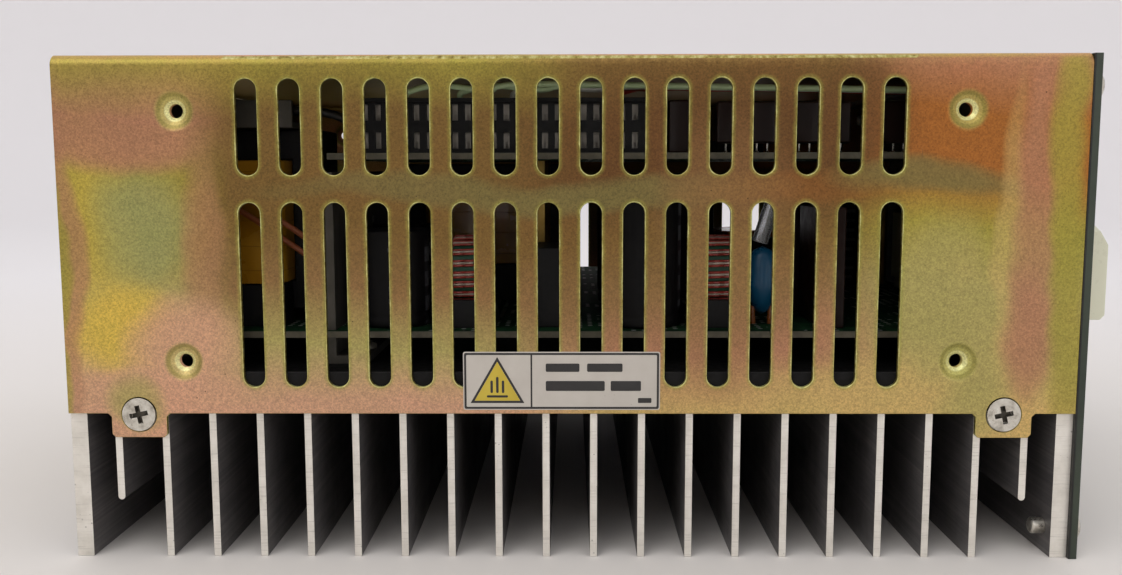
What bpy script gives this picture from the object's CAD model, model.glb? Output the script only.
import math
import random

import bmesh
import bpy
from mathutils import Matrix, Vector


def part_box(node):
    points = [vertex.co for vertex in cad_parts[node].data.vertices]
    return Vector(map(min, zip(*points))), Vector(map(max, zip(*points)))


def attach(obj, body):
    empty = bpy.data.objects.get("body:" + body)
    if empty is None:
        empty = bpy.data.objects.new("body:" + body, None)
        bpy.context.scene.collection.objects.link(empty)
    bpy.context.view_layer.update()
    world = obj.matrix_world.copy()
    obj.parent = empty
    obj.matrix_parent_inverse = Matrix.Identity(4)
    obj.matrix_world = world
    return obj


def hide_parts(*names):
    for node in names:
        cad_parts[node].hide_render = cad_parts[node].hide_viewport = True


MM = 0.001
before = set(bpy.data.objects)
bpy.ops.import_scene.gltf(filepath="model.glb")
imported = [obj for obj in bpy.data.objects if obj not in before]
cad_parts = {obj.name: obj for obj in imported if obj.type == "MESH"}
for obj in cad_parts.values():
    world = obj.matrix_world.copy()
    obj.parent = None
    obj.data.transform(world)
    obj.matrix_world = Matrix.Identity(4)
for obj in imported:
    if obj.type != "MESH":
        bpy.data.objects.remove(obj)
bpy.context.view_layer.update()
scene = bpy.context.scene
made = {}


# ---------------------------------------------------------------- sizes
def size_of(node):
    lo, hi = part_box(node)
    return lo / MM, hi / MM


CASE_LO, CASE_HI = size_of("cover")
SINK_LO, SINK_HI = size_of("heatsink")
PANEL_LO, PANEL_HI = size_of("front_panel")
REAR_X, FRONT_X = CASE_LO.x, CASE_HI.x
MID_X = (REAR_X + FRONT_X) / 2
NEAR_Y, FAR_Y = CASE_LO.y, CASE_HI.y
TOP_Z = CASE_HI.z
TAB_Z = CASE_LO.z
SHEET = 1.2
BEND_R = 2.6
COVER_Z = 35.6
TAB_X = (FRONT_X - REAR_X) / 2 - 17
TAB_W = 13.3
SLOT_W = 5.0
SLOT_PITCH = 10.0
SLOT_COUNT = 16
SLOT_ROWS = ((42.1, 85.8), (92.2, 114.4))  # the upper row is in the near wall alone
MOUNT_X = 91.7
MOUNT_Z = (48.2, 107.1)
SCREW_Z = COVER_Z - 0.2


# ---------------------------------------------------------------- material tools
def rgb(r, g, b):
    def lin(c):
        c /= 255
        return c / 12.92 if c < 0.04045 else ((c + 0.055) / 1.055) ** 2.4
    return (lin(r), lin(g), lin(b), 1.0)


class Shade:
    """A node material built by short calls; plain numbers go on the sockets themselves."""

    def __init__(self, name, **sockets):
        self.m = bpy.data.materials.new(name)
        self.m.use_nodes = True
        self.t = self.m.node_tree
        self.b = self.t.nodes["Principled BSDF"]
        self.coord = self.t.nodes.new("ShaderNodeTexCoord").outputs["Object"]
        for key, value in sockets.items():
            self.put(key.replace("_", " "), value)

    def put(self, key, value):
        socket = next(s for s in self.b.inputs if s.name.lower() == key.lower())
        if isinstance(value, bpy.types.NodeSocket):
            self.t.links.new(value, socket)
        else:
            socket.default_value = value
        return self

    def feed(self, node, key, value):
        if value is None:
            return
        if isinstance(value, bpy.types.NodeSocket):
            self.t.links.new(value, node.inputs[key])
        else:
            node.inputs[key].default_value = value

    def math(self, op, a, b=None, c=None, clamp=False):
        n = self.t.nodes.new("ShaderNodeMath")
        n.operation, n.use_clamp = op, clamp
        for i, v in enumerate((a, b, c)):
            self.feed(n, i, v)
        return n.outputs[0]

    def vmath(self, op, a, b=None):
        n = self.t.nodes.new("ShaderNodeVectorMath")
        n.operation = op
        self.feed(n, 0, a)
        self.feed(n, 1, b)
        return n.outputs["Value"] if op in ("LENGTH", "DISTANCE", "DOT_PRODUCT") else n.outputs[0]

    def scaled(self, x=1, y=1, z=1, vector=None):
        return self.vmath("MULTIPLY", vector or self.coord, (x, y, z))

    def xyz(self, vector=None):
        n = self.t.nodes.new("ShaderNodeSeparateXYZ")
        self.feed(n, 0, vector or self.coord)
        return n.outputs

    def join(self, x, y, z):
        n = self.t.nodes.new("ShaderNodeCombineXYZ")
        for i, v in enumerate((x, y, z)):
            self.feed(n, i, v)
        return n.outputs[0]

    def noise(self, scale, detail=3.0, rough=0.55, vector=None, distortion=0.0, color=False):
        n = self.t.nodes.new("ShaderNodeTexNoise")
        self.feed(n, "Vector", vector or self.coord)
        self.feed(n, "Scale", scale)
        self.feed(n, "Detail", detail)
        self.feed(n, "Roughness", rough)
        self.feed(n, "Distortion", distortion)
        return n.outputs["Color" if color else 0]

    def cells(self, scale, vector=None, feature="F1", out="Distance", randomness=1.0):
        n = self.t.nodes.new("ShaderNodeTexVoronoi")
        n.feature = feature
        self.feed(n, "Vector", vector or self.coord)
        self.feed(n, "Scale", scale)
        self.feed(n, "Randomness", randomness)
        return n.outputs[out]

    def span(self, value, a, b, c=0.0, d=1.0, smooth=True):
        n = self.t.nodes.new("ShaderNodeMapRange")
        n.interpolation_type = "SMOOTHSTEP" if smooth else "LINEAR"
        for key, v in (("Value", value), ("From Min", a), ("From Max", b), ("To Min", c), ("To Max", d)):
            self.feed(n, key, v)
        return n.outputs[0]

    def ramp(self, fac, stops, mode="LINEAR"):
        n = self.t.nodes.new("ShaderNodeValToRGB")
        n.color_ramp.interpolation = mode
        e = n.color_ramp.elements
        while len(e) < len(stops):
            e.new(0.5)
        for el, (p, c) in zip(e, stops):
            el.position = p
            el.color = c
        self.feed(n, "Fac", fac)
        return n.outputs["Color"]

    def mix(self, fac, a, b, kind="MIX"):
        n = self.t.nodes.new("ShaderNodeMix")
        n.data_type, n.blend_type = "RGBA", kind
        n.clamp_factor = True
        for s, v in (("Factor", fac), ("A", a), ("B", b)):
            socket = next(i for i in n.inputs if i.name == s and i.type == ("VALUE" if s == "Factor" else "RGBA"))
            if isinstance(v, bpy.types.NodeSocket):
                self.t.links.new(v, socket)
            else:
                socket.default_value = v
        return next(o for o in n.outputs if o.type == "RGBA")

    def bump(self, height, distance, strength=1.0, normal=None):
        n = self.t.nodes.new("ShaderNodeBump")
        self.feed(n, "Strength", strength)
        self.feed(n, "Distance", distance)
        self.feed(n, "Height", height)
        if normal is not None:
            self.feed(n, "Normal", normal)
        self.t.links.new(n.outputs[0], self.b.inputs["Normal"])
        return n.outputs[0]


# ---------------------------------------------------------------- materials
GAIN = 1.22  # the plate gives back about four fifths of the light that falls on it


def chromate():
    """Zinc plate with an iridescent yellow passivation."""
    s = Shade("chromate", Metallic=0.72, Roughness=0.4)
    s.put("Specular IOR Level", 0.5)
    x, y, z = s.xyz()[:]
    warp = s.noise(16, 3, 0.6, color=True)
    moved = s.vmath("ADD", s.coord, s.vmath("MULTIPLY", s.vmath("SUBTRACT", warp, (0.5, 0.5, 0.5)),
                                             (0.03, 0.03, 0.02)))
    mx, my, mz = s.xyz(moved)[:]
    # the passivation's own tints, from thick film (pink, sand) to thin (brown, umber)
    pink, rose, sand = rgb(185, 145, 120), rgb(160, 115, 90), rgb(180, 155, 100)
    gold, straw, olive = rgb(190, 165, 75), rgb(155, 145, 90), rgb(145, 135, 60)
    sage, tan, brown = rgb(135, 140, 95), rgb(130, 100, 65), rgb(110, 85, 45)
    umber, orange, slate = rgb(95, 65, 35), rgb(145, 90, 40), rgb(110, 100, 60)
    height = s.span(mz, COVER_Z * MM, CASE_HI.z * MM, smooth=False)

    def bands(*tints):
        """Tints at even heights from the cover's lower edge to its top."""
        return s.ramp(height, [(k / (len(tints) - 1), tint) for k, tint in enumerate(tints)])

    rear = bands(pink, sand, straw, olive, olive, rose, olive)
    left = bands(pink, straw, tan, brown, brown, brown, olive)
    middle = bands(sand, rose, tan, brown, umber, umber, brown)
    front = bands(sand, straw, straw, olive, orange, orange, rose)
    col = s.mix(s.span(mx, -0.1, -0.08), rear, left)
    col = s.mix(s.span(mx, -0.035, 0.005), col, middle)
    col = s.mix(s.span(mx, 0.05, 0.075), col, front)
    blobs = (
        # x, z, half width, half height (mm), tint, strength
        (-117, 75, 9, 26, gold, 0.5),
        (-112, 55, 12, 10, gold, 0.95),
        (-106, 80, 12, 13, sage, 0.7),
        (-113, 100, 20, 6, rose, 0.85),
        (-90, 76, 5, 20, rose, 0.55),
        (-95, 50, 14, 10, pink, 0.9),
        (-104, 40, 24, 4, pink, 0.8),
        (-125, 72, 3, 36, rose, 0.7),
        (-128, 80, 2, 70, olive, 0.8),
        (-110, 36, 7, 6, straw, 0.85),
        (-35, 88, 34, 3.5, slate, 0.8),
        (5, 88, 30, 3.5, slate, 0.85),
        (48, 88, 24, 3, orange, 0.3),
        (75, 90, 22, 3.5, slate, 0.85),
        (58, 107, 8, 9, umber, 0.5),
        (30, 72, 12, 30, tan, 0.5),
        (82, 66, 9, 14, straw, 0.6),
        (90, 52, 13, 10, straw, 0.6),
        (91, 37, 8, 7, straw, 0.8),
        (96, 76, 3.5, 32, sand, 0.5),
        (103, 84, 5.5, 36, rose, 0.75),
        (102, 54, 6, 14, rose, 0.85),
        (111, 82, 4, 70, olive, 0.8),
        (60, 40, 22, 5, sand, 0.6),
    )
    for bx, bz, w, h, colour, strength in blobs:
        dx = s.math("MULTIPLY", s.math("SUBTRACT", mx, bx * MM), 1 / (w * MM))
        dz = s.math("MULTIPLY", s.math("SUBTRACT", mz, bz * MM), 1 / (h * MM))
        far = s.math("ADD", s.math("MULTIPLY", dx, dx), s.math("MULTIPLY", dz, dz))
        col = s.mix(s.span(far, 1.9, 0.1, 0.0, strength), col, colour)
    # the top is one colour field of its own
    on_top = s.span(z, 0.1185, 0.1198)
    top = s.ramp(s.noise(9, 4, 0.6, s.scaled(1, 1, 0)), [
        (0.30, rgb(146, 132, 60)), (0.45, rgb(176, 152, 78)), (0.55, rgb(184, 134, 96)), (0.7, rgb(150, 156, 104))])
    col = s.mix(on_top, col, top)
    # halo round each slot on the side walls
    side = s.math("GREATER_THAN", s.math("ABSOLUTE", y), (FAR_Y - 2) * MM)
    px = s.math("SUBTRACT", s.math("PINGPONG", s.math("SUBTRACT", x, (MID_X - 80) * MM), 0.005), 0.005)
    px = s.math("MULTIPLY", px, -1.0)
    halo = None
    for lo, hi in SLOT_ROWS:
        mid, half = (lo + hi) / 2 * MM, ((hi - lo) / 2 - SLOT_W / 2) * MM
        dz = s.math("MAXIMUM", s.math("SUBTRACT", s.math("ABSOLUTE", s.math("SUBTRACT", z, mid)), half), 0.0)
        d = s.math("SQRT", s.math("ADD", s.math("MULTIPLY", px, px), s.math("MULTIPLY", dz, dz)))
        if lo > 90:
            d = s.math("ADD", d, s.math("GREATER_THAN", y, 0.0))
        halo = d if halo is None else s.math("MINIMUM", halo, d)
    inside_x = s.math("LESS_THAN", s.math("ABSOLUTE", s.math("SUBTRACT", x, MID_X * MM)), 0.0805)
    ragged = s.math("MULTIPLY", s.math("SUBTRACT", s.noise(260, 2), 0.5), 0.0006)
    halo = s.math("ADD", halo, ragged)
    near_slot = s.math("MULTIPLY", s.math("MULTIPLY", s.span(halo, 0.0037, 0.0026), inside_x), side)
    col = s.mix(s.math("MULTIPLY", near_slot, 0.55), col, rgb(142, 140, 66))
    rim = s.math("MULTIPLY", s.math("MULTIPLY", s.span(halo, 0.00279, 0.00257), inside_x), side)
    col = s.mix(s.math("MULTIPLY", rim, 0.85), col, rgb(196, 198, 138))
    # halo round the drawn holes
    hx = s.math("ABSOLUTE", s.math("SUBTRACT", x, MID_X * MM))
    hole = None
    for hz in MOUNT_Z:
        dx = s.math("SUBTRACT", hx, MOUNT_X * MM)
        dz = s.math("SUBTRACT", z, hz * MM)
        d = s.math("SQRT", s.math("ADD", s.math("MULTIPLY", dx, dx), s.math("MULTIPLY", dz, dz)))
        hole = d if hole is None else s.math("MINIMUM", hole, d)
    hole_ring = s.math("MULTIPLY", s.math("ADD", hole, ragged), side)
    pale = s.math("MULTIPLY", s.span(hole_ring, 0.0052, 0.0034), side)
    col = s.mix(s.math("MULTIPLY", pale, 0.6), col, rgb(170, 168, 98))
    drawn = s.math("MULTIPLY", s.span(hole_ring, 0.0046, 0.0040), s.span(hole_ring, 0.0031, 0.0036))
    col = s.mix(s.math("MULTIPLY", s.math("MULTIPLY", drawn, side), 0.55), col, rgb(112, 104, 46))
    lip = s.math("MULTIPLY", s.span(hole_ring, 0.0027, 0.0023), side)
    col = s.mix(s.math("MULTIPLY", lip, 0.7), col, rgb(214, 214, 160))
    # worn zinc along the top fold
    fold = s.math("MULTIPLY", s.span(z, 0.1162, 0.119), s.span(s.noise(500, 3, 0.6), 0.3, 0.7))
    col = s.mix(s.math("MULTIPLY", fold, 0.25), col, rgb(172, 140, 84))
    # fine crystalline grain, cloudy stains and dark specks
    grain = s.noise(2300, 2, 0.8)
    col = s.mix(1.0, col, s.ramp(grain, [(0.3, (0.84, 0.84, 0.8, 1)), (0.5, (GAIN, GAIN, 1.16, 1)), (0.7, (1.62, 1.62, 1.5, 1))]),
                "MULTIPLY")
    cloud = s.noise(46, 4, 0.55, distortion=0.3)
    col = s.mix(1.0, col, s.ramp(cloud, [(0.3, (0.93, 0.95, 0.92, 1)), (0.5, (1.0, 1.0, 1.0, 1)), (0.72, (1.07, 1.02, 1.05, 1))]),
                "MULTIPLY")
    speck = s.math("MULTIPLY", s.span(s.cells(260), 0.055, 0.03), s.span(s.noise(36, 2), 0.56, 0.64))
    col = s.mix(s.math("MULTIPLY", speck, 0.8), col, rgb(52, 40, 24))
    scratch_v = s.vmath("MULTIPLY", s.vmath("ADD", s.coord, (0, 0, 0)), (520, 520, 38))
    scratch = s.math("MULTIPLY", s.span(s.noise(1.0, 2, 0.5, scratch_v, 0.8), 0.72, 0.76), s.span(s.noise(22, 1), 0.6, 0.68))
    col = s.mix(s.math("MULTIPLY", scratch, 0.4), col, rgb(96, 84, 62))
    s.put("Base Color", col)
    s.put("Roughness", s.math("ADD", s.span(grain, 0.3, 0.7, 0.34, 0.5), s.math("MULTIPLY", cloud, 0.06)))
    s.bump(s.math("ADD", s.math("MULTIPLY", grain, 0.7), s.math("MULTIPLY", s.noise(280, 3), 0.6)), 0.00004, 0.45)
    return s.m


def rolled_edge():
    """Sheared steel at the slot and plate edges, under the same passivation."""
    s = Shade("sheared_edge", Metallic=0.85, Roughness=0.36)
    streak = s.noise(1, 3, 0.6, s.scaled(900, 240, 900))
    s.put("Base Color", s.ramp(streak, [(0.3, rgb(120, 104, 48)), (0.5, rgb(176, 164, 92)), (0.72, rgb(214, 210, 150))]))
    s.put("Roughness", s.span(streak, 0.3, 0.7, 0.5, 0.28))
    s.bump(streak, 0.00006, 0.5)
    return s.m


def anodised():
    s = Shade("black_anodised", Metallic=0.0, Roughness=0.6)
    lines = s.noise(1, 3, 0.6, s.scaled(1500, 6, 1500))
    dust = s.noise(90, 5, 0.6)
    dark = s.ramp(lines, [(0.3, rgb(74, 72, 73)), (0.55, rgb(92, 89, 89)), (0.75, rgb(112, 108, 106))])
    dusty = s.mix(s.span(dust, 0.5, 0.78, 0.0, 0.35), dark, rgb(112, 108, 104))
    s.put("Base Color", dusty)
    s.put("Roughness", s.span(dust, 0.3, 0.75, 0.34, 0.56))
    s.bump(s.math("ADD", lines, s.math("MULTIPLY", dust, 0.3)), 0.00004, 0.5)
    return s.m


def sawn():
    """Saw-cut ends of the extrusion."""
    s = Shade("sawn_aluminium", Metallic=0.5, Roughness=0.42)
    cut_lines = s.noise(1, 2, 0.5, s.scaled(120, 300, 2600))
    blot = s.noise(140, 4, 0.65)
    col = s.ramp(blot, [(0.25, rgb(206, 202, 193)), (0.5, rgb(226, 222, 214)), (0.75, rgb(240, 237, 230))])
    col = s.mix(s.span(cut_lines, 0.55, 0.75, 0.0, 0.3), col, rgb(150, 146, 142))
    dirt = s.math("MULTIPLY", s.span(s.cells(520), 0.14, 0.06), s.span(s.noise(70, 2), 0.5, 0.62))
    col = s.mix(s.math("MULTIPLY", dirt, 0.5), col, rgb(96, 92, 88))
    s.put("Base Color", col)
    s.put("Roughness", s.span(cut_lines, 0.3, 0.7, 0.36, 0.55))
    s.bump(s.math("ADD", cut_lines, s.math("MULTIPLY", blot, 0.4)), 0.00005, 0.6)
    return s.m


def plated(name="plated_screw", tint=(1.0, 1.0, 1.0)):
    s = Shade(name, Metallic=0.9, Roughness=0.34)
    spin = s.noise(1, 2, 0.5, s.scaled(700, 700, 700))
    stain = s.noise(420, 4, 0.65)
    col = s.ramp(stain, [(0.28, rgb(150, 144, 132)), (0.5, rgb(206, 202, 192)), (0.74, rgb(226, 224, 216))])
    col = s.mix(1.0, col, (*tint, 1.0), "MULTIPLY")
    s.put("Base Color", col)
    s.put("Roughness", s.span(spin, 0.3, 0.7, 0.26, 0.46))
    s.bump(s.math("ADD", spin, stain), 0.00003, 0.5)
    return s.m


def paint(name, dark, light, rough=0.42, shade_x=0.0):
    """Fine orange-peel paint, with small chips and a shaded seam behind shade_x."""
    s = Shade(name, Roughness=rough)
    peel = s.noise(700, 3, 0.55)
    tone = s.noise(28, 4, 0.6)
    col = s.ramp(tone, [(0.3, dark), (0.7, light)])
    chip = s.math("MULTIPLY", s.span(s.cells(190), 0.07, 0.04), s.span(s.noise(30, 2, 0.7), 0.56, 0.64))
    col = s.mix(s.math("MULTIPLY", chip, 0.6), col, rgb(128, 130, 120))
    col = s.mix(s.span(s.xyz()[0], shade_x, shade_x - 0.0001), col, rgb(7, 8, 7))
    s.put("Base Color", col)
    s.put("Roughness", s.span(peel, 0.3, 0.7, rough - 0.07, rough + 0.1))
    s.bump(peel, 0.00006, 0.5)
    return s.m


def plastic(name, a, b, rough=0.42, grain=900, depth=0.00003, coat=0.0, dust=0.12, shine=0.5):
    s = Shade(name, Roughness=rough)
    s.put("Specular IOR Level", shine)
    s.put("Coat Weight", coat)
    tone = s.noise(34, 4, 0.6)
    fine = s.noise(grain, 3, 0.6)
    col = s.ramp(tone, [(0.3, a), (0.7, b)])
    col = s.mix(s.span(s.noise(150, 5, 0.7), 0.55, 0.8, 0.0, dust), col, rgb(150, 146, 138))
    s.put("Base Color", col)
    s.put("Roughness", s.span(fine, 0.3, 0.7, max(0.05, rough - 0.08), rough + 0.08))
    s.bump(fine, depth, 0.5)
    return s.m


def metal(name, a, b, rough=0.32, across=(900, 900, 60), metallic=0.95):
    s = Shade(name, Metallic=metallic, Roughness=rough)
    brush = s.noise(1, 3, 0.6, s.scaled(*across))
    stain = s.noise(120, 4, 0.6)
    col = s.ramp(stain, [(0.3, a), (0.7, b)])
    col = s.mix(s.span(brush, 0.4, 0.8, 0.0, 0.25), col, rgb(120, 118, 112))
    s.put("Base Color", col)
    s.put("Roughness", s.span(brush, 0.3, 0.7, rough - 0.08, rough + 0.12))
    s.bump(brush, 0.00003, 0.5)
    return s.m


def tape(name="yellow_tape"):
    """Polyester tape wound in layers, its overlaps a little darker."""
    s = Shade(name, Roughness=0.3)
    s.put("Coat Weight", 0.25)
    x, y, z = s.xyz()[:]
    wavy = s.math("ADD", z, s.math("MULTIPLY", s.math("SUBTRACT", s.noise(120, 2), 0.5), 0.0008))
    layer = s.math("PINGPONG", wavy, 0.0031)
    edge = s.span(layer, 0.00022, 0.0)
    tone = s.noise(60, 4, 0.6)
    col = s.ramp(tone, [(0.3, rgb(150, 100, 12)), (0.55, rgb(176, 124, 20)), (0.75, rgb(190, 142, 36))])
    col = s.mix(s.math("MULTIPLY", edge, 0.6), col, rgb(128, 84, 14))
    s.put("Base Color", col)
    s.put("Roughness", s.span(tone, 0.3, 0.7, 0.22, 0.42))
    s.bump(s.math("SUBTRACT", s.noise(240, 3), s.math("MULTIPLY", edge, 0.8)), 0.00012, 0.6)
    return s.m


def sleeve(name="printed_sleeve"):
    """Black heat-shrunk sleeve with a pale polarity band of dashes and plain bars."""
    s = Shade(name, Roughness=0.5)
    s.put("Specular IOR Level", 0.25)
    x, y, z = s.xyz()[:]
    fine = s.noise(500, 3, 0.6)
    col = s.ramp(s.noise(70, 3), [(0.3, rgb(9, 8, 10)), (0.7, rgb(15, 14, 17))])
    uv = s.t.nodes.new("ShaderNodeAttribute")
    uv.attribute_name = "wrap"
    u, v, w = s.xyz(uv.outputs["Vector"])[:]
    # a stack of short bars of uneven length, read down the can
    row = s.math("FRACT", s.math("MULTIPLY", v, 1 / 3.2))
    number = s.math("FLOOR", s.math("MULTIPLY", v, 1 / 3.2))
    uneven = s.noise(3.1, 0, 0.5, s.join(number, w, 0.0))
    bar = s.math("MULTIPLY", s.math("LESS_THAN", s.math("ABSOLUTE", s.math("SUBTRACT", row, 0.5)), 0.17),
                 s.math("LESS_THAN", s.math("ABSOLUTE", u), s.math("ADD", 0.9, s.math("MULTIPLY", uneven, 2.2))))
    band = s.math("LESS_THAN", s.math("ABSOLUTE", s.math("SUBTRACT", s.math("ABSOLUTE", u), 10.5)), 1.9)
    dash = s.math("LESS_THAN", s.math("ABSOLUTE", s.math("SUBTRACT", s.math("FRACT", s.math("MULTIPLY", v, 0.16)), 0.5)), 0.2)
    band = s.math("MULTIPLY", band, s.math("SUBTRACT", 1.0, s.math("MULTIPLY", dash, 0.85)))
    on_side = s.math("MULTIPLY", s.math("GREATER_THAN", v, 3.0), s.math("LESS_THAN", v, 31.0))
    mark = s.math("MULTIPLY", s.math("MAXIMUM", bar, s.math("MULTIPLY", band, 0.7)), on_side)
    rubbed = s.span(s.noise(420, 2), 0.3, 0.55, 0.35, 0.9)
    col = s.mix(s.math("MULTIPLY", mark, rubbed), col, rgb(104, 106, 112))
    s.put("Base Color", col)
    s.put("Roughness", s.span(fine, 0.3, 0.7, 0.44, 0.58))
    s.bump(fine, 0.00004, 0.4)
    return s.m


def board():
    """Green solder mask over copper tracks."""
    s = Shade("solder_mask", Roughness=0.72)
    s.put("Specular IOR Level", 0.12)
    grid = s.vmath("MULTIPLY", s.coord, (1, 1, 0))
    tracks = s.cells(150, grid, "DISTANCE_TO_EDGE", "Distance", 0.55)
    line = s.span(tracks, 0.10, 0.07)
    pads = s.cells(380, grid, "F1", "Distance", 0.0)
    pad = s.span(pads, 0.26, 0.22)
    pick = s.span(s.noise(90, 1, vector=grid), 0.52, 0.56)
    col = s.ramp(s.noise(40, 4), [(0.3, rgb(12, 36, 22)), (0.7, rgb(18, 50, 30))])
    col = s.mix(s.math("MULTIPLY", line, 0.65), col, rgb(28, 68, 40))
    solder = s.math("MULTIPLY", pad, pick)
    col = s.mix(solder, col, rgb(190, 190, 186))
    s.put("Base Color", col)
    s.put("Metallic", s.math("MULTIPLY", solder, 0.9))
    s.bump(s.math("ADD", s.math("MULTIPLY", line, 0.5), solder), 0.00008, 0.7)
    return s.m


def laminate():
    s = Shade("laminate_edge", Roughness=0.55)
    x, y, z = s.xyz()[:]
    ply = s.math("PINGPONG", z, 0.00014)
    col = s.mix(s.span(ply, 0.0, 0.00014), rgb(84, 80, 66), rgb(112, 106, 88))
    col = s.mix(s.span(s.noise(600, 3), 0.35, 0.7, 0.0, 0.5), col, rgb(66, 64, 54))
    s.put("Base Color", col)
    s.bump(s.noise(1200, 3), 0.00006, 0.6)
    return s.m


def film(name, a, b, rough=0.4):
    s = Shade(name, Roughness=rough)
    s.put("Coat Weight", 0.2)
    tone = s.noise(110, 4, 0.6)
    col = s.ramp(tone, [(0.3, a), (0.7, b)])
    spot = s.math("MULTIPLY", s.span(s.cells(700), 0.1, 0.05), s.span(s.noise(120, 2), 0.54, 0.62))
    col = s.mix(s.math("MULTIPLY", spot, 0.35), col, rgb(84, 80, 72))
    s.put("Base Color", col)
    s.put("Roughness", s.span(tone, 0.3, 0.7, rough - 0.08, rough + 0.08))
    s.bump(s.noise(1400, 2), 0.00001, 0.4)
    return s.m


def clear(name, tint, rough=0.08, ior=1.5):
    s = Shade(name, Roughness=rough, IOR=ior)
    s.put("Transmission Weight", 0.92)
    tone = s.noise(200, 3)
    s.put("Base Color", s.ramp(tone, [(0.3, tint), (0.7, (0.95, 0.96, 0.97, 1))]))
    s.put("Roughness", s.span(tone, 0.3, 0.7, rough, rough + 0.12))
    s.bump(tone, 0.00004, 0.4)
    return s.m


def enamel(name, a, b):
    s = Shade(name, Metallic=0.35, Roughness=0.26)
    s.put("Coat Weight", 0.5)
    tone = s.noise(260, 3)
    s.put("Base Color", s.ramp(tone, [(0.3, a), (0.7, b)]))
    s.put("Roughness", s.span(tone, 0.3, 0.7, 0.2, 0.36))
    s.bump(s.noise(900, 2), 0.00002, 0.4)
    return s.m


MAT = {
    "chromate": chromate(),
    "edge": rolled_edge(),
    "anodised": anodised(),
    "sawn": sawn(),
    "screw": plated(),
    "panel": paint("panel_paint", rgb(37, 47, 36), rgb(50, 60, 47), shade_x=size_of("front_panel")[0].x * MM + 0.0005),
    "board": board(),
    "laminate": laminate(),
    "brass": metal("brass", rgb(168, 134, 62), rgb(206, 174, 98)),
    "aluminium": metal("bare_aluminium", rgb(84, 81, 74), rgb(106, 102, 95), 0.5, metallic=0.7),
    "tin": metal("tinned", rgb(176, 174, 168), rgb(224, 222, 216), 0.24, (600, 600, 600)),
    "ferrite": plastic("ferrite", rgb(18, 17, 18), rgb(28, 26, 28), 0.6, 1300, 0.00008, dust=0.04, shine=0.3),
    "tape": tape(),
    "black": plastic("black_plastic", rgb(12, 12, 13), rgb(20, 20, 22), 0.5, dust=0.03, shine=0.3),
    "grey": plastic("grey_pad", rgb(132, 132, 130), rgb(158, 158, 156), 0.6, 600, 0.00005),
    "sleeve": sleeve(),
    "blue": plastic("blue_epoxy", rgb(10, 70, 104), rgb(16, 90, 128), 0.34, 260, 0.00006, 0.15, 0.03),
    "clear": clear("clear_tube", (0.86, 0.88, 0.9, 1)),
    "brown": plastic("brown_epoxy", rgb(26, 13, 10), rgb(40, 20, 14), 0.36, 320, 0.00008, 0.1, 0.04, 0.3),
    "copper": enamel("copper_enamel", rgb(150, 70, 30), rgb(186, 98, 48)),
    "red": enamel("red_enamel", rgb(132, 32, 22), rgb(158, 50, 36)),
    "white_wire": enamel("white_enamel", rgb(150, 138, 124), rgb(186, 172, 158)),
    "core": plastic("core_coating", rgb(24, 62, 46), rgb(34, 82, 60), 0.45, 700, 0.00008),
    "fuse": clear("fuse_glass", (0.9, 0.93, 0.93, 1), 0.03),
    "green_wire": plastic("green_insulation", rgb(190, 214, 160), rgb(208, 230, 182), 0.42),
    "orange_wire": plastic("orange_insulation", rgb(118, 58, 26), rgb(146, 76, 38), 0.42),
    "pale_wire": plastic("white_insulation", rgb(226, 224, 214), rgb(240, 238, 228), 0.4),
    "crimson_wire": plastic("red_insulation", rgb(196, 46, 34), rgb(214, 66, 50), 0.4),
    "ivory": plastic("ivory_plastic", rgb(196, 196, 172), rgb(212, 212, 188), 0.42, 700, 0.00004),
    "cream": plastic("cream_plastic", rgb(226, 226, 202), rgb(238, 238, 216), 0.34, 700, 0.00004, dust=0.05),
    "dull_tin": metal("dull_tin", rgb(176, 170, 160), rgb(206, 200, 190), 0.5, (500, 500, 500), 0.25),
    "shaded": plastic("dark_anodised", rgb(10, 10, 11), rgb(18, 17, 18), 0.65, 600, 0.00003, dust=0.02, shine=0.2),
    "recess": metal("screw_recess", rgb(62, 58, 50), rgb(96, 90, 80), 0.55, (700, 700, 700), 0.4),
    "lead_dip": plastic("lead_dip", rgb(120, 60, 24), rgb(150, 84, 36), 0.3, 400, 0.00005, 0.3),
    "dark_wire": plastic("black_insulation", rgb(20, 18, 18), rgb(32, 28, 27), 0.42),
    "trim_blue": plastic("blue_plastic", rgb(24, 62, 150), rgb(36, 82, 176), 0.34),
    "trim_white": plastic("white_plastic", rgb(214, 212, 204), rgb(230, 228, 220), 0.4),
    "lens": clear("green_lens", (0.30, 0.80, 0.36, 1), 0.12),
    "label": film("label_white", rgb(186, 180, 172), rgb(196, 191, 183)),
    "ink": film("label_black", rgb(22, 21, 22), rgb(34, 32, 33), 0.36),
    "yellow": film("label_yellow", rgb(190, 166, 46), rgb(202, 180, 62), 0.38),
}


# ---------------------------------------------------------------- mesh tools
def add_piece(name, mesh, mats, body="case", nodes=(), angle=52, weighted=True):
    ob = bpy.data.objects.new(name, mesh)
    scene.collection.objects.link(ob)
    for m in mats:
        mesh.materials.append(MAT[m] if isinstance(m, str) else m)
    for p in mesh.polygons:
        p.use_smooth = True
    mesh.set_sharp_from_angle(angle=math.radians(angle))
    if weighted:
        mod = ob.modifiers.new("normals", "WEIGHTED_NORMAL")
        mod.keep_sharp = True
        mod.weight = 80
    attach(ob, body)
    if nodes:
        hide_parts(*nodes)
    made[name] = ob
    return ob


def mesh_from(bm, name):
    bmesh.ops.recalc_face_normals(bm, faces=bm.faces)
    me = bpy.data.meshes.new(name)
    bm.to_mesh(me)
    bm.free()
    return me


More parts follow.
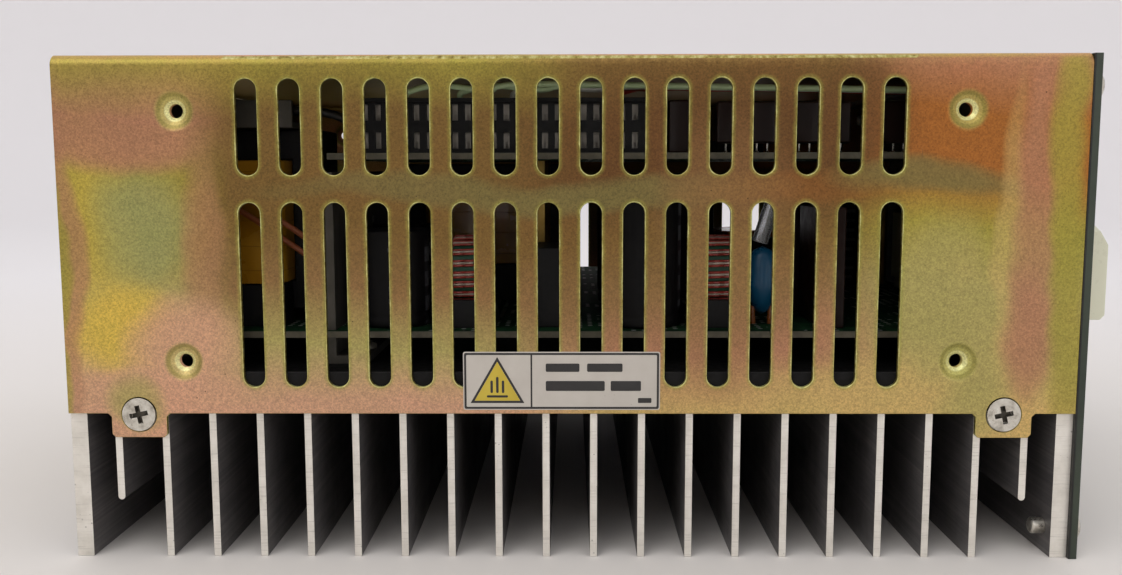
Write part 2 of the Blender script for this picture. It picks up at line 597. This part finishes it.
def islands(bm):
    """Index of the connected piece that each face belongs to."""
    seen, group = {}, 0
    for f in bm.faces:
        if f in seen:
            continue
        stack, seen[f] = [f], group
        while stack:
            for e in stack.pop().edges:
                for g in e.link_faces:
                    if g not in seen:
                        seen[g] = group
                        stack.append(g)
        group += 1
    return seen, group


def refined(node, width, mats, segments=2, limit=32, body="case", paint_by=None, angle=52, also=(), split=None):
    """A CAD node's shape with its triangles merged and its edges rounded."""
    bm = bmesh.new()
    bm.from_mesh(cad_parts[node].data)
    bmesh.ops.remove_doubles(bm, verts=bm.verts, dist=2e-6)
    bmesh.ops.dissolve_limit(bm, angle_limit=math.radians(0.5), verts=bm.verts, edges=bm.edges)
    for f in bm.faces:
        f.normal_update()
    if split is not None:
        bmesh.ops.bisect_plane(bm, geom=bm.verts[:] + bm.edges[:] + bm.faces[:], dist=1e-7,
                               plane_co=(0, 0, split * MM), plane_no=(0, 0, 1))
    if width > 0:
        sharp = [e for e in bm.edges if e.is_manifold and abs(e.calc_face_angle(0.0)) > math.radians(limit)]
        bmesh.ops.bevel(bm, geom=sharp, offset=width * MM, offset_type="OFFSET", segments=segments,
                        profile=0.5, affect="EDGES", clamp_overlap=True, harden_normals=False)
    if paint_by:
        for f in bm.faces:
            f.normal_update()
        groups, count = islands(bm)
        boxes = {}
        for f, g in groups.items():
            for v in f.verts:
                lo, hi = boxes.setdefault(g, (v.co.copy(), v.co.copy()))
                for k in range(3):
                    lo[k] = min(lo[k], v.co[k])
                    hi[k] = max(hi[k], v.co[k])
        for f in bm.faces:
            lo, hi = boxes[groups[f]]
            f.material_index = paint_by(f.calc_center_median() / MM, f.normal, lo / MM, hi / MM, groups[f])
    me = mesh_from(bm, node)
    name = node + "_piece"
    return add_piece(name, me, mats, body, (node,) + tuple(also), angle)


def curve_plate(outer, holes, thickness, bevel, resolution=2):
    """bmesh of a flat plate in XY, its holes cut and its edges rounded, thickness along Z."""
    cu = bpy.data.curves.new("flat", "CURVE")
    cu.dimensions, cu.fill_mode = "2D", "BOTH"
    cu.extrude = (thickness / 2 - bevel) * MM
    cu.bevel_depth, cu.bevel_resolution = bevel * MM, resolution
    cu.offset = -bevel * MM
    for loop in [outer] + list(holes):
        sp = cu.splines.new("POLY")
        sp.points.add(len(loop) - 1)
        for p, (x, y) in zip(sp.points, loop):
            p.co = (x * MM, y * MM, 0, 1)
        sp.use_cyclic_u = True
    ob = bpy.data.objects.new("flat", cu)
    scene.collection.objects.link(ob)
    me = bpy.data.meshes.new_from_object(ob.evaluated_get(bpy.context.evaluated_depsgraph_get()))
    bpy.data.objects.remove(ob)
    bm = bmesh.new()
    bm.from_mesh(me)
    bpy.data.meshes.remove(me)
    bmesh.ops.remove_doubles(bm, verts=bm.verts, dist=1e-6)
    return bm


def ring_points(cx, cy, r, n=40, start=0.0):
    return [(cx + r * math.cos(start + 2 * math.pi * i / n), cy + r * math.sin(start + 2 * math.pi * i / n))
            for i in range(n)]


def stadium(cx, y0, y1, w, n=14):
    r = w / 2
    top = [(cx + r * math.cos(math.pi * i / n), y1 - r + r * math.sin(math.pi * i / n)) for i in range(n + 1)]
    low = [(cx - r * math.cos(math.pi * i / n), y0 + r - r * math.sin(math.pi * i / n)) for i in range(n + 1)]
    return top + low


def lathe(bm, profile, at, axis, n=40, close=True):
    """Turns (radius, height) pairs about an axis through a point, in mm."""
    z = Vector(axis).normalized()
    x = Vector((0, 0, 1)) if abs(z.z) < 0.9 else Vector((1, 0, 0))
    x = (x - z * x.dot(z)).normalized()
    y = z.cross(x)
    rings = []
    for r, h in profile:
        if r < 1e-6:
            rings.append([bm.verts.new((Vector(at) + z * h) * MM)])
            continue
        rings.append([bm.verts.new((Vector(at) + z * h + (x * math.cos(a) + y * math.sin(a)) * r) * MM)
                      for a in (2 * math.pi * i / n for i in range(n))])
    for a, b in zip(rings, rings[1:]):
        for i in range(n):
            j = (i + 1) % n
            if len(a) == 1 and len(b) > 1:
                bm.faces.new((a[0], b[i], b[j]))
            elif len(b) == 1 and len(a) > 1:
                bm.faces.new((a[i], a[j], b[0]))
            elif len(a) > 1:
                bm.faces.new((a[i], a[j], b[j], b[i]))
    return rings


def smooth_path(points, steps=6):
    """Catmull-Rom curve through the points."""
    pts = [Vector(p) for p in points]
    pts = [pts[0] * 2 - pts[1]] + pts + [pts[-1] * 2 - pts[-2]]
    out = []
    for i in range(1, len(pts) - 2):
        a, b, c, d = pts[i - 1:i + 3]
        for k in range(steps):
            t = k / steps
            out.append(0.5 * ((2 * b) + (c - a) * t + (2 * a - 5 * b + 4 * c - d) * t * t
                              + (3 * b - a - 3 * c + d) * t ** 3))
    out.append(pts[-2])
    return out


def sweep(bm, path, r, n=10, closed=False, index=0):
    """A round tube along a path in mm."""
    path = [Vector(p) for p in path]
    count = len(path)
    side, rings = None, []
    for i, p in enumerate(path):
        if closed:
            t = (path[(i + 1) % count] - path[i - 1]).normalized()
        else:
            t = (path[min(i + 1, count - 1)] - path[max(i - 1, 0)]).normalized()
        if side is None:
            ref = Vector((0, 0, 1)) if abs(t.z) < 0.8 else Vector((1, 0, 0))
            side = (ref - t * ref.dot(t)).normalized()
        side = (side - t * side.dot(t)).normalized()
        up = t.cross(side)
        rings.append([bm.verts.new((p + (side * math.cos(a) + up * math.sin(a)) * r) * MM)
                      for a in (2 * math.pi * k / n for k in range(n))])
    pairs = list(zip(rings, rings[1:])) + ([(rings[-1], rings[0])] if closed else [])
    shift = 0
    if closed:
        shift = min(range(n), key=lambda s: sum((rings[-1][k].co - rings[0][(k + s) % n].co).length for k in range(n)))
    for q, (a, b) in enumerate(pairs):
        s = shift if closed and q == len(pairs) - 1 else 0
        for k in range(n):
            f = bm.faces.new((a[k], a[(k + 1) % n], b[(k + 1 + s) % n], b[(k + s) % n]))
            f.material_index = index
    if not closed:
        bm.faces.new(rings[0][::-1]).material_index = index
        bm.faces.new(rings[-1]).material_index = index


def box(bm, lo, hi, bevel=0.15, segments=2, index=0):
    """A block with rounded edges, corners in mm."""
    lo, hi = Vector(lo), Vector(hi)
    made_box = bmesh.ops.create_cube(bm, size=1.0)
    verts = made_box["verts"]
    mid, dim = (lo + hi) / 2, hi - lo
    for v in verts:
        v.co = Vector((mid[k] + v.co[k] * dim[k] for k in range(3))) * MM
    edges = list({e for v in verts for e in v.link_edges})
    faces = list({f for v in verts for f in v.link_faces})
    for f in faces:
        f.material_index = index
    if bevel > 0:
        res = bmesh.ops.bevel(bm, geom=edges, offset=bevel * MM, segments=segments, profile=0.5, affect="EDGES",
                              clamp_overlap=True)
        for f in res["faces"]:
            f.material_index = index


# ---------------------------------------------------------------- cover
def wall_outline(half, low_z, tabs):
    """Outline of the cover laid flat: X across, the unfolded way along Y."""
    run = math.pi / 2 * BEND_R
    flat = FAR_Y - BEND_R
    reach = flat + run + (TOP_Z - BEND_R - low_z)
    points = []
    for s in (-1, 1):
        edge = [(-half, s * reach)]
        for t in (-1, 1):
            if tabs:
                drop = reach + (low_z - TAB_Z)
                a, b = t * TAB_X - TAB_W / 2, t * TAB_X + TAB_W / 2
                edge += [(a - 0.8, s * reach), (a, s * (reach + 0.8)), (a, s * (drop - 0.8)), (a + 0.8, s * drop),
                         (b - 0.8, s * drop), (b, s * (drop - 0.8)), (b, s * (reach + 0.8)), (b + 0.8, s * reach)]
        edge.append((half, s * reach))
        points += edge if s < 0 else edge[::-1]
    return points, flat, run


def fold(bm, flat):
    """Bends a flat plate, its outer face at z = 0, over the two long edges of the case."""
    steps = 8
    for s in (-1, 1):
        for i in range(steps + 1):
            y = s * (flat + math.pi / 2 * BEND_R * i / steps) * MM
            geom = list(bm.verts) + list(bm.edges) + list(bm.faces)
            bmesh.ops.bisect_plane(bm, geom=geom, dist=1e-7, plane_co=(0, y, 0), plane_no=(0, 1, 0))
    for v in bm.verts:
        x, u, depth = v.co.x / MM, v.co.y / MM, -v.co.z / MM
        s = 1 if u > 0 else -1
        over = abs(u) - flat
        run = math.pi / 2 * BEND_R
        if over <= 0:
            y, z = u, TOP_Z - depth
        elif over < run:
            a = over / BEND_R
            y = s * (flat + (BEND_R - depth) * math.sin(a))
            z = TOP_Z - BEND_R + (BEND_R - depth) * math.cos(a)
        else:
            y = s * (FAR_Y - depth)
            z = TOP_Z - BEND_R - (over - run)
        v.co = Vector((x + MID_X, y, z)) * MM


def unfolded(z):
    """How far along the flat plate a height on a side wall lies."""
    return FAR_Y - BEND_R + math.pi / 2 * BEND_R + (TOP_Z - BEND_R - z)


def dish(bm, x, z, s):
    """Drawn and tapped hole in a side wall: a round dish with a collar inside."""
    profile = [(5.6, 0.0), (4.9, 0.0), (4.55, -0.05), (4.2, -0.2), (3.5, -0.55), (2.8, -0.92), (2.3, -1.12),
               (2.0, -1.3), (1.82, -1.5)]
    for i in range(6):
        h = -1.5 - i * 0.32
        profile += [(1.66, h - 0.08), (1.84, h - 0.24)]
    profile += [(1.75, -3.4), (2.0, -3.4), (2.6, -3.2), (2.75, -2.5), (3.3, -1.95), (4.2, -1.5), (4.9, -1.25), (5.6, -SHEET)]
    lathe(bm, profile, (x, s * FAR_Y, z), (0, s, 0), 48)


def build_cover():
    half = (FRONT_X - REAR_X) / 2
    outer, flat, run = wall_outline(half, COVER_Z, True)
    holes = []
    for s in (-1, 1):
        for i in range(SLOT_COUNT):
            cx = (i - (SLOT_COUNT - 1) / 2) * SLOT_PITCH
            for lo, hi in SLOT_ROWS[:1 if s > 0 else 2]:
                a, b = sorted((s * unfolded(lo), s * unfolded(hi)))
                holes.append(stadium(cx, a, b, SLOT_W))
        for t in (-1, 1):
            holes.append(ring_points(t * TAB_X, s * unfolded(SCREW_Z), 4.18, 40))
    top_lo, top_hi = size_of("bracket_screws")
    for s in (-1, 1):
        holes.append(ring_points((top_lo.x + top_hi.x) / 2 - MID_X, s * (top_hi.y - 4.0), 4.18, 40))
    bm = curve_plate(outer, holes, SHEET, 0.22, 2)
    for v in bm.verts:
        v.co.z -= SHEET / 2 * MM
    fold(bm, flat)
    me = bpy.data.meshes.new("cover")
    bmesh.ops.recalc_face_normals(bm, faces=bm.faces)
    bm.to_mesh(me)
    bm.free()
    ob = bpy.data.objects.new("cover_raw", me)
    scene.collection.objects.link(ob)
    # room for the eight drawn holes
    cut = bmesh.new()
    places = [(MID_X + t * MOUNT_X, z, s) for t in (-1, 1) for z in MOUNT_Z for s in (-1, 1)]
    for x, z, s in places:
        rings = lathe(cut, [(5.6, -4), (5.6, 4)], (x, s * FAR_Y, z), (0, s, 0), 48)
        cut.faces.new(rings[0][::-1])
        cut.faces.new(rings[1])
    bmesh.ops.recalc_face_normals(cut, faces=cut.faces)
    cme = bpy.data.meshes.new("cut")
    cut.to_mesh(cme)
    cut.free()
    cutter = bpy.data.objects.new("cutter", cme)
    scene.collection.objects.link(cutter)
    mod = ob.modifiers.new("cut", "BOOLEAN")
    mod.object, mod.operation, mod.solver = cutter, "DIFFERENCE", "EXACT"
    bm = bmesh.new()
    done = bpy.data.meshes.new_from_object(ob.evaluated_get(bpy.context.evaluated_depsgraph_get()))
    bm.from_mesh(done)
    bpy.data.objects.remove(ob)
    bpy.data.objects.remove(cutter)
    gone = []
    for f in bm.faces:
        c = f.calc_center_median() / MM
        for x, z, s in places:
            if s * c.y > FAR_Y - SHEET - 0.5 and abs(math.hypot(c.x - x, c.z - z) - 5.6) < 0.05 and abs(f.normal.y) < 0.5:
                gone.append(f)
    bmesh.ops.delete(bm, geom=list(set(gone)), context="FACES_ONLY")
    for x, z, s in places:
        dish(bm, x, z, s)
    bmesh.ops.remove_doubles(bm, verts=bm.verts, dist=2e-5)
    bmesh.ops.recalc_face_normals(bm, faces=bm.faces)
    for f in bm.faces:
        c, n = f.calc_center_median() / MM, f.normal
        side = abs(c.y) > FAR_Y - BEND_R * 0.4 - 0.4
        broad = max(abs(n.y), abs(n.z)) > 0.8 if side or c.z > TOP_Z - BEND_R - 0.5 else True
        f.material_index = 0 if broad or abs(c.x - MID_X) > 80 and not (abs(c.x - MID_X) > half - 0.4) and c.z > 42 else 1
    me = bpy.data.meshes.new("cover_sheet")
    bm.to_mesh(me)
    bm.free()
    add_piece("cover_sheet", me, ["chromate", "edge"], "case", ("cover",), angle=60)


build_cover()


# ---------------------------------------------------------------- heatsink, panels, fasteners
def sink_paint(c, n, lo, hi, g):
    if (c.z > COVER_Z - 3 and n.z > 0.8) or (c.z > COVER_Z + 0.6 and abs(n.y) > 0.8):
        return 2
    return 1 if abs(n.y) > 0.8 and abs(c.y) > hi.y - 1.2 and c.z < COVER_Z + 0.6 else 0


refined("heatsink", 0.3, ["anodised", "sawn", "shaded"], 3, paint_by=sink_paint, split=COVER_Z + 0.6)
refined("front_panel", 0.28, ["panel"], 3)
refined("rear_panel", 0.2, ["chromate"])
refined("panel_bracket", 0.2, ["aluminium"])
for node in ("front_panel_screws", "rear_panel_screws", "bracket_screws"):
    refined(node, 0.07, ["screw"], limit=36)


def drive_paint(c, n, lo, hi, g):
    """Shade in the cross of a countersunk head."""
    depth = c.y - lo.y if hi.y < 0 else hi.y - c.y
    r = math.hypot(c.x - (lo.x + hi.x) / 2, c.z - (lo.z + hi.z) / 2)
    return 1 if 0.32 < depth < 2.2 and r < 1.7 else 0


refined("cover_screws", 0.07, ["screw", "recess"], limit=36, paint_by=drive_paint)


# ---------------------------------------------------------------- everything inside, from the CAD shapes
def board_paint(c, n, lo, hi, g):
    return 0 if abs(n.z) > 0.7 else 1


def wire_paint(c, n, lo, hi, g):
    """The nearest wire is pale green and those behind it are white, red and orange."""
    return (3, 3, 2, 0, 1)[g % 5]


def lead_paint(c, n, lo, hi, g):
    return 0 if hi.z < 95 else 1


for node in ("power_board", "control_board"):
    refined(node, 0.1, ["board", "laminate"], paint_by=board_paint)
PLAIN = (
    # node, edge radius, material, slot, body
    ("low_standoffs", 0.15, "brass", "brass", "case"),
    ("high_standoffs", 0.15, "brass", "brass", "case"),
    ("board_screws", 0.05, "screw", "bright_screw", "case"),
    ("transformer_core", 0.4, "ferrite", "ferrite", "case"),
    ("transformer_winding", 0.5, "tape", "yellow_tape", "case"),
    ("transformer_bobbin", 0.2, "black", "black_plastic", "case"),
    ("transformer_clamp", 0.2, "aluminium", "bare_aluminium", "case"),
    ("main_core", 0.4, "ferrite", "ferrite", "case"),
    ("main_winding", 0.5, "tape", "yellow_tape", "case"),
    ("main_bobbin", 0.2, "black", "black_plastic", "case"),
    ("heat_spreader", 0.15, "aluminium", "bare_aluminium", "case"),
    ("far_spreader", 0.15, "aluminium", "bare_aluminium", "case"),
    ("power_transistors", 0.12, "black", "black_plastic", "case"),
    ("transistor_screws", 0.05, "screw", "bright_screw", "case"),
    ("insulating_pads", 0.05, "grey", "grey_pad", "case"),
    ("output_rectifiers", 0.12, "black", "black_plastic", "case"),
    ("bridge_rectifier", 0.15, "black", "black_plastic", "case"),
    ("capacitor_sleeve", 0.05, "clear", "clear_sleeve", "case"),
    ("film_capacitors", 0.5, "brown", "brown_epoxy", "case"),
    ("line_choke", 0.3, "ferrite", "ferrite", "case"),
    ("choke_winding", 0.0, "copper", "copper_enamel", "case"),
    ("toroid_holders", 0.2, "black", "black_plastic", "case"),
    ("toroid_cores", 0.6, "core", "green_core", "case"),
    ("fuse", 0.08, "fuse", "fuse_glass", "case"),
    ("fuse_clips", 0.06, "tin", "tin", "case"),
    ("relay", 0.35, "black", "black_plastic", "case"),
    ("pin_header", 0.12, "black", "black_plastic", "case"),
    ("control_chips", 0.08, "black", "black_plastic", "case"),
    ("terminal_block", 0.2, "ivory", "ivory_plastic", "case"),
    ("terminal_plates", 0.08, "tin", "tin", "case"),
    ("terminal_screws", 0.07, "screw", "bright_screw", "case"),
    ("terminal_cover", 0.3, "cream", "ivory_plastic", "terminal_flap"),
    ("trimmer_body", 0.2, "trim_blue", "blue_plastic", "case"),
    ("trimmer_rotor", 0.15, "trim_white", "white_plastic", "adjuster"),
    ("status_lamp", 0.05, "lens", "green_lens", "case"),
)
for node, width, material, slot_name, body in PLAIN:
    refined(node, width, [material], body=body, limit=34)
refined("signal_wires", 0.0, ["crimson_wire", "orange_wire", "pale_wire", "green_wire", "green_wire"],
        paint_by=wire_paint)
refined("power_wires", 0.0, ["orange_wire", "dark_wire"], paint_by=lead_paint)


def wrap_print(ob):
    """Gives each can's skin its own flat coordinates in mm: round it, down it, and which can it is."""
    me = ob.data
    bm = bmesh.new()
    bm.from_mesh(me)
    bm.faces.ensure_lookup_table()
    groups, count = islands(bm)
    spans = {}
    for f, g in groups.items():
        for v in f.verts:
            s = spans.setdefault(g, [1e9, -1e9, 1e9, -1e9, -1e9])
            p = v.co / MM
            spans[g] = [min(s[0], p.x), max(s[1], p.x), min(s[2], p.y), max(s[3], p.y), max(s[4], p.z)]
    layer = bm.loops.layers.float_vector.new("wrap")
    for f, g in groups.items():
        x0, x1, y0, y1, top = spans[g]
        cx, cy, r = (x0 + x1) / 2, (y0 + y1) / 2, (x1 - x0) / 2
        turn = random.Random(g * 13 + 5).uniform(-0.25, 0.25)
        c = f.calc_center_median() / MM
        mid = math.atan2(c.x - cx, -(c.y - cy))
        for loop in f.loops:
            p = loop.vert.co / MM
            a = math.atan2(p.x - cx, -(p.y - cy))
            a += 2 * math.pi * round((mid - a) / (2 * math.pi))
            loop[layer] = ((a + turn) * r, top - p.z, g * 7.3)
    bm.to_mesh(me)
    bm.free()


for node in ("big_capacitors", "main_capacitors", "small_capacitors"):
    wrap_print(refined(node, 0.0, ["sleeve"]))


# ---------------------------------------------------------------- small parts seen through the slots
def part_boxes(node):
    """The box of each separate solid of a CAD node, in mm."""
    bm = bmesh.new()
    bm.from_mesh(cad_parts[node].data)
    bmesh.ops.remove_doubles(bm, verts=bm.verts, dist=2e-6)
    groups, count = islands(bm)
    out = [[Vector((1e9,) * 3), Vector((-1e9,) * 3)] for _ in range(count)]
    for f, g in groups.items():
        for v in f.verts:
            for k in range(3):
                out[g][0][k] = min(out[g][0][k], v.co[k] / MM)
                out[g][1][k] = max(out[g][1][k], v.co[k] / MM)
    bm.free()
    return out


def build_contacts():
    """Flat blades in the header's windows: a wide face above, a folded tail below."""
    bm = bmesh.new()
    for lo, hi in part_boxes("header_contacts"):
        mid = (lo.x + hi.x) / 2
        w = min(1.0, (hi.x - lo.x) / 2 + 0.35)
        box(bm, (mid - w, lo.y, lo.z), (mid + w, lo.y + 0.5, hi.z), 0.12)
        box(bm, (mid - w * 0.45, lo.y - 0.0, lo.z - 0.0), (mid + w * 0.45, hi.y, lo.z + (hi.z - lo.z) * 0.4), 0.08)
        box(bm, (mid - w * 1.05, lo.y - 0.06, hi.z - 0.45), (mid + w * 1.05, lo.y + 0.3, hi.z - 0.15), 0.08)
    add_piece("header_blades", mesh_from(bm, "header_blades"), ["dull_tin"], "case", ("header_contacts",))


def build_modules():
    """Dipped hybrid modules on rows of bent pins."""
    bm = bmesh.new()
    rnd = random.Random(3)
    for lo, hi in part_boxes("control_modules"):
        body_lo = lo.z + 2.2
        n = max(4, int((hi.x - lo.x) / 2.54))
        start = (lo.x + hi.x) / 2 - (n - 1) * 1.27
        bmesh.ops.create_cube(bm, size=1.0)
        verts = bm.verts[-8:]
        for v in verts:
            v.co = Vector(((lo.x + hi.x) / 2 + v.co.x * (hi.x - lo.x), (lo.y + hi.y) / 2 + v.co.y * (hi.y - lo.y - 0.3),
                           (body_lo + hi.z) / 2 + v.co.z * (hi.z - body_lo))) * MM
        edges = list({e for v in verts for e in v.link_edges})
        bmesh.ops.bevel(bm, geom=edges, offset=0.7 * MM, segments=3, profile=0.5, affect="EDGES", clamp_overlap=True)
        for i in range(n):
            x = start + i * 2.54
            y = (lo.y + hi.y) / 2 - 0.6
            z0 = lo.z + 0.02
            sweep(bm, [(x, y, body_lo + 0.4), (x, y - 0.15, body_lo - 0.5), (x, y, z0 + 0.9), (x, y, z0)], 0.28, 8, index=1)
            lathe_index = len(bm.faces)
            lathe(bm, [(0.0, 0.5), (0.3, 0.45), (0.5, 0.2), (0.62, 0.0), (0.0, 0.0)], (x, y, z0), (0, 0, 1), 10)
            bm.faces.ensure_lookup_table()
            for f in bm.faces[lathe_index:]:
                f.material_index = 1
    add_piece("hybrid_modules", mesh_from(bm, "hybrid_modules"), ["brown", "tin"], "case", ("control_modules",))


def build_blue():
    """Dipped disc capacitor: a soft lens on two leads with the dip run down them."""
    lo, hi = size_of("blue_capacitor")
    cx, cy = (lo.x + hi.x) / 2, (lo.y + hi.y) / 2
    r, base = (hi.x - lo.x) / 2, lo.z + 2.4
    tall = hi.z - base
    bm = bmesh.new()
    profile = [(0.0, 0.0)]
    for k in range(1, 16):
        t = k / 16
        swell = math.sin(math.pi * min(1.0, t * 0.98 + 0.02)) ** 0.42
        taper = 0.62 + 0.38 * min(1.0, t / 0.45)
        profile.append((r * 0.985 * swell * taper, tall * t))
    profile.append((0.0, tall))
    lathe(bm, profile, (cx, cy, base), (0, 0, 1), 40)
    for side in (-1, 1):
        x = cx + side * 2.2
        sweep(bm, smooth_path([(x, cy, base + 2.2), (x + side * 0.1, cy, base + 0.4), (x, cy, base - 1.2),
                               (x, cy, lo.z + 0.02)], 4), 0.72, 10, index=1)
    add_piece("blue_bead", mesh_from(bm, "blue_bead"), ["blue", "lead_dip"], "case", ("blue_capacitor",))


build_contacts()
build_modules()
build_blue()


# ---------------------------------------------------------------- wound toroids
def build_windings():
    lo, hi = size_of("toroid_cores")
    outer = (hi.z - lo.z) / 2
    mid_z = (hi.z + lo.z) / 2
    mid_y = (hi.y + lo.y) / 2
    length = 7.4
    wire = 0.34
    bm = bmesh.new()
    rnd = random.Random(7)
    for end in (lo.x + length / 2, hi.x - length / 2):
        for i in range(19):
            middle = 2 * math.pi * (i + rnd.uniform(-0.09, 0.09)) / 19
            for k in (-1, 0, 1):
                spread = k * 0.068
                r0, r1 = 5.0 - wire, outer + wire
                h = length / 2 + wire
                path = []
                for r, x, turn in ((r0, -h + 0.5, 0), (r0, h - 0.5, 0), (r0 + 0.5, h, 0.02), (r1 - 0.6, h, 0.05),
                                   (r1, h - 0.6, 0.06), (r1, -h + 0.6, 0.03), (r1 - 0.6, -h, 0.02), (r0 + 0.5, -h, 0.0)):
                    a = middle + turn + spread * (r / r1)
                    lift = 0.0 if r > 6 else abs(k) * 0.3
                    path.append((end + x, mid_y + (r - lift) * math.sin(a), mid_z + (r - lift) * math.cos(a)))
                dense = []
                for p, q in zip(path, path[1:] + path[:1]):
                    dense += [Vector(p), Vector(p).lerp(Vector(q), 0.5)]
                sweep(bm, dense, wire, 8, closed=True, index=0 if k else 1)
    me = mesh_from(bm, "toroid_turns")
    add_piece("toroid_turns", me, ["red", "white_wire"], "case", ("toroid_windings",), weighted=False)


build_windings()


# ---------------------------------------------------------------- caution label
def build_label():
    lo, hi = size_of("caution_label")
    w, h = hi.x - lo.x, hi.z - lo.z
    y = lo.y
    bm = bmesh.new()

    def plate(outline, holes, depth, proud, index):
        part = curve_plate(outline, holes, depth, 0.02, 1)
        for v in part.verts:
            v.co = Vector((lo.x * MM + v.co.x, (y + proud + depth / 2) * MM - v.co.z, lo.z * MM + v.co.y))
        for f in part.faces:
            f.material_index = index
        me = bpy.data.meshes.new("p")
        part.to_mesh(me)
        part.free()
        bm.from_mesh(me)
        bpy.data.meshes.remove(me)

    def rect(x0, z0, x1, z1, r=0.0):
        if not r:
            return [(x0, z0), (x1, z0), (x1, z1), (x0, z1)]
        out = []
        for cx, cz, a in ((x1 - r, z0 + r, -90), (x1 - r, z1 - r, 0), (x0 + r, z1 - r, 90), (x0 + r, z0 + r, 180)):
            out += [(cx + r * math.cos(math.radians(a + b)), cz + r * math.sin(math.radians(a + b)))
                    for b in (0, 30, 60, 90)]
        return out

    thick = (hi.y - lo.y)
    plate(rect(0, 0, w, h, 0.5), [], thick - 0.06, 0.06, 0)
    plate(rect(0.25, 0.25, w - 0.25, h - 0.25, 0.4), [rect(0.75, 0.75, w - 0.75, h - 0.75, 0.25)], 0.05, 0.02, 1)
    div = 16.2
    plate(rect(div - 0.2, 0.7, div + 0.2, h - 0.7), [], 0.05, 0.02, 1)
    cx, base, top, half = div / 2, 1.9, h - 1.7, 6.0

    def tri(grow):
        return [(cx - half - grow, base - grow * 0.58), (cx + half + grow, base - grow * 0.58), (cx, top + grow * 1.15)]

    plate(tri(0.4), [tri(-0.55)], 0.05, 0.02, 1)
    plate(tri(-0.6), [], 0.04, 0.03, 2)
    for k in (-1, 0, 1):
        bar = rect(cx + k * 1.35 - 0.3, base + 2.2, cx + k * 1.35 + 0.3, base + 5.2 + (0.9 if k == 0 else 0), 0.28)
        plate(bar, [], 0.05, 0.005, 1)
    plate(rect(cx - 2.5, base + 1.1, cx + 2.5, base + 1.65, 0.2), [], 0.05, 0.005, 1)
    for z0, z1, ends in ((9.2, 11.2, ((3.4, 11.4), (13.2, 21.6))), (4.6, 7.0, ((3.4, 17.4), (18.8, 26.0)))):
        for a, b in ends:
            plate(rect(div + a, z0, div + b, z1, 0.3), [], 0.05, 0.02, 1)
    plate(rect(w - 5.2, 1.7, w - 2.0, 2.9, 0.2), [], 0.05, 0.02, 1)
    me = mesh_from(bm, "caution_plate")
    add_piece("caution_plate", me, ["label", "ink", "yellow"], "case", ("caution_label",), weighted=False)


build_label()


# ---------------------------------------------------------------- setting
def build_stage():
    bm = bmesh.new()
    profile = [(0.0, 0.0), (400, 0.0), (1200, 0.0), (1800, 0.0)]
    for i in range(1, 13):
        a = math.radians(90 * i / 12)
        profile.append((1800 + 900 * math.sin(a), 900 - 900 * math.cos(a)))
    profile.append((2700, 2200))
    lathe(bm, profile, (0, 0, -0.05), (0, 0, 1), 96)
    me = mesh_from(bm, "sweep")
    for p in me.polygons:
        p.use_smooth = True
    s = Shade("paper", Roughness=0.75)
    front = s.mix(s.span(s.noise(3, 4), 0.3, 0.7), rgb(230, 226, 221), rgb(233, 229, 225))
    s.put("Base Color", s.mix(s.span(s.xyz()[1], -0.05, 0.6), front, rgb(242, 240, 241)))
    s.bump(s.noise(300, 2), 0.0002, 0.1)
    me.materials.append(s.m)
    ob = bpy.data.objects.new("sweep", me)
    scene.collection.objects.link(ob)


def area(name, at, look, size, watts, colour=(1, 1, 1)):
    data = bpy.data.lights.new(name, "AREA")
    data.shape, data.size, data.energy, data.color = "DISK", size, watts, colour
    ob = bpy.data.objects.new(name, data)
    ob.location = at
    ob.rotation_euler = (Vector(look) - Vector(at)).to_track_quat("-Z", "Y").to_euler()
    scene.collection.objects.link(ob)


build_stage()
world = bpy.data.worlds.new("room")
scene.world = world
world.use_nodes = True
world.node_tree.nodes["Background"].inputs["Color"].default_value = (0.96, 0.95, 0.97, 1)
world.node_tree.nodes["Background"].inputs["Strength"].default_value = 0.94
area("key", (-0.7, -1.0, 1.25), (0, 0, 0.06), 1.1, 6.5, (1.0, 0.98, 0.95))
area("fill", (0.9, -1.1, 0.55), (0, 0, 0.06), 0.9, 2.0, (0.96, 0.98, 1.0))
scene.view_settings.view_transform = "Standard"

camera = bpy.data.cameras.new("camera")
camera.lens, camera.sensor_width = 33.91, 36.0
camera.clip_start = 0.01
cam = bpy.data.objects.new("camera", camera)
pitch, yaw, roll = math.radians(6.426), math.radians(-0.538), math.radians(-0.091)
forward = Vector((math.sin(yaw) * math.cos(pitch), math.cos(yaw) * math.cos(pitch), -math.sin(pitch)))
cam.matrix_world = (Matrix.Translation((-0.00753, -0.3418, 0.0937))
                    @ forward.to_track_quat("-Z", "Y").to_matrix().to_4x4() @ Matrix.Rotation(roll, 4, "Z"))
scene.collection.objects.link(cam)
scene.camera = cam
